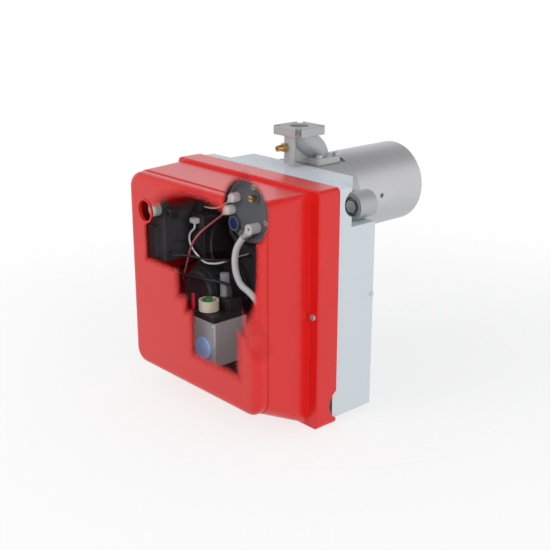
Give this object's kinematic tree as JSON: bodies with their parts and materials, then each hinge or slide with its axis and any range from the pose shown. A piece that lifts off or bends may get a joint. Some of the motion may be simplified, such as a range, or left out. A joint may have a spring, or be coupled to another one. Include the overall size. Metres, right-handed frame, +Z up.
{
  "type": "gas burner",
  "caption": "Forced-draught gas burner with a lift-off cover over its controls, a fan casing behind it, a round blast tube and a flanged gas elbow.",
  "frame": {"origin": "on the blast tube's axis at the tube's root, where it leaves the collar casting", "axes": "+Y along the blast tube towards the boiler, +X to the right as seen from the front of the cover, +Z up"},
  "size_m": [0.316, 0.419, 0.4065],
  "materials": {
    "red_paint": "gloss powder coat",
    "grey_paint": "satin powder coat",
    "black_plate": "matte powder coat",
    "black_paint": "satin enamel",
    "zinc": "zinc plated",
    "dark_steel": "oiled",
    "cast_alu": "as cast, blasted",
    "slate_cast": "satin paint on a casting",
    "satin_steel": "satin",
    "brass": "turned",
    "sight_glass": "polished",
    "ceramic_white": "unglazed",
    "ceramic_cap": "glazed ends",
    "pale_plastic": "moulded",
    "hose_silicone": "silicone hose",
    "pink_lead": "silicone lead",
    "white_lead": "silicone lead",
    "orange_lead": "silicone lead",
    "black_rubber": "cable sheath",
    "gasket": "fibre gasket",
    "grey_plastic": "moulded",
    "dark_plastic": "fine grain",
    "black_plastic": "moulded",
    "clear_button": "translucent",
    "servo_grey": "die cast, painted",
    "blue_plastic": "moulded",
    "cream_plastic": "moulded",
    "green_plastic": "moulded",
    "red_plastic": "moulded"
  },
  "bodies": {
    "burner": {"air_hose": "hose_silicone", "blast_tube": "satin_steel", "bulkhead": "black_plate", "cable_inlet": "black_plastic", "capacitor": "grey_plastic", "casing_screws": "zinc", "control_base": "black_plastic", "control_box": "dark_plastic", "control_lead": "black_rubber", "damper_duct": "grey_paint", "ear_bolts": "zinc", "ear_washers": "zinc", "elbow_gasket": "gasket", "elbow_screws": "zinc", "electrode_clamp": "zinc", "fan_motor": "black_paint", "fan_scroll": "grey_paint", "flame_disc": "satin_steel", "flame_probe": "ceramic_white", "gas_elbow": "cast_alu", "gas_head": "satin_steel", "gas_pipe": "dark_steel", "head_duct": "cast_alu", "head_plate": "slate_cast", "hose_spout": "pale_plastic", "ignition_cap": "ceramic_cap", "ignition_coil": "black_plastic", "ignition_electrode": "ceramic_white", "ignition_lead": "orange_lead", "inlet_plug": "cream_plastic", "lead_connector": "pale_plastic", "plate_screws": "zinc", "probe_cap": "ceramic_cap", "probe_lead": "pink_lead", "rear_casing": "grey_paint", "servo_body": "servo_grey", "servo_cable": "black_rubber", "servo_cap": "blue_plastic", "servo_deck": "black_plastic", "servo_lid": "servo_grey", "sight_glass": "sight_glass", "signal_socket": "black_plastic", "switch_body": "grey_plastic", "terminal_socket": "black_plastic", "test_nipple": "brass", "tube_screws": "dark_steel", "white_lead": "white_lead"},
    "cover_body": {"cover": "red_paint", "cover_screw": "zinc"},
    "fan": {"fan_wheel": "zinc", "motor_shaft": "satin_steel"},
    "damper": {"damper_blade": "zinc", "damper_shaft": "satin_steel"},
    "cam": {"cam_dial": "cream_plastic", "cam_pointer": "green_plastic"},
    "reset": {"reset_button": "clear_button"},
    "release": {"release_lever": "red_plastic"},
    "pressure_setting": {"switch_dial": "cream_plastic"},
    "head_setting": {"air_sleeve": "cast_alu", "setting_rod": "brass"}
  },
  "joints": [
    {"name": "cover_slide", "type": "slide", "parent": "burner", "child": "cover_body", "axis": [0, -1, 0], "range_m": [0, 0.22]},
    {"name": "fan_spin", "type": "hinge", "parent": "burner", "child": "fan", "pos_m": [-0.062, -0.164, -0.128], "axis": [0, 1, 0], "continuous": true},
    {"name": "damper_turn", "type": "hinge", "parent": "burner", "child": "damper", "pos_m": [0.008, -0.164, -0.212], "axis": [0, -1, 0], "range_deg": [0, 90]},
    {"name": "cam_turn", "type": "hinge", "parent": "burner", "child": "cam", "pos_m": [-0.015, -0.233, -0.13], "axis": [0, 0, 1], "range_deg": [0, 90]},
    {"name": "reset_press", "type": "slide", "parent": "burner", "child": "reset", "axis": [0, 1, 0], "range_m": [0, 0.003], "stiffness_N_per_m": 400, "springref_m": -0.002},
    {"name": "release_slide", "type": "slide", "parent": "burner", "child": "release", "axis": [1, 0, 0], "range_m": [0, 0.003]},
    {"name": "pressure_dial_turn", "type": "hinge", "parent": "burner", "child": "pressure_setting", "pos_m": [0.055, -0.199, -0.179], "axis": [0, 1, 0], "range_deg": [0, 270]},
    {"name": "head_setting_slide", "type": "slide", "parent": "burner", "child": "head_setting", "axis": [0, -1, 0], "range_m": [0, 0.012]}
  ],
  "couplings": [
    {"joint": "cam_turn", "follows": "damper_turn", "ratio": 1}
  ]
}
